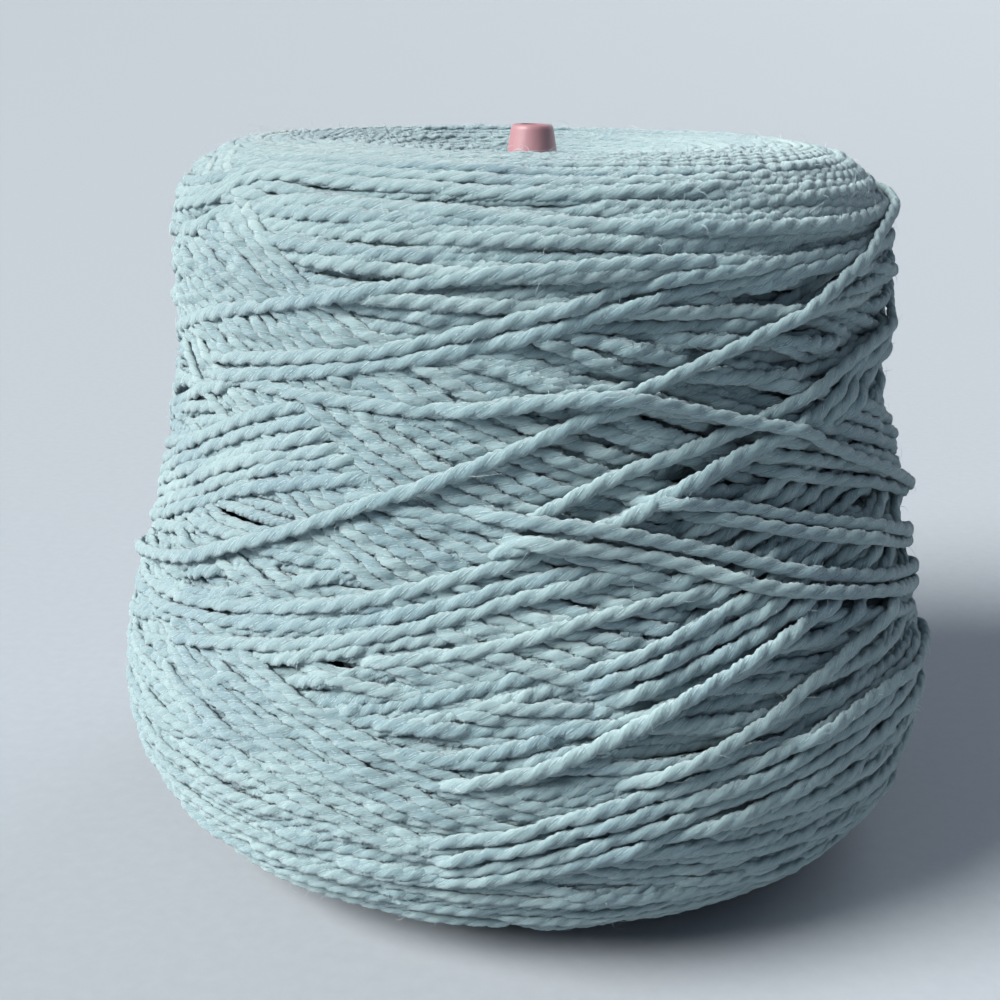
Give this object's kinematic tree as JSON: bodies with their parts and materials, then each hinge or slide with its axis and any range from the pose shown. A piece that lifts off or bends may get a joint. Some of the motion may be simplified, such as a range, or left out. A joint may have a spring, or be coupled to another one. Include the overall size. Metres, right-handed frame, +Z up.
{
  "type": "cone of knitting yarn",
  "caption": "Cross-wound package of plied cotton-type yarn on a tapered plastic cone core, standing on its large end.",
  "frame": {"origin": "centre of the core's base rim, on the surface the cone stands on", "axes": "+Z up along the core's axis, towards the small nose; X and Y are free, because the solids are round"},
  "size_m": [0.202, 0.202, 0.17],
  "materials": {
    "core_plastic": "satin moulded pink plastic",
    "yarn": "soft plied pale blue-green yarn with a thin shiny filament"
  },
  "bodies": {
    "core": {"cone_core": "core_plastic"},
    "yarn_package": {"wound_yarn": "yarn"}
  },
  "joints": [
    {"name": "package_lift", "type": "slide", "parent": "core", "child": "yarn_package", "axis": [0, 0, 1], "range_m": [0, 0.17]}
  ]
}
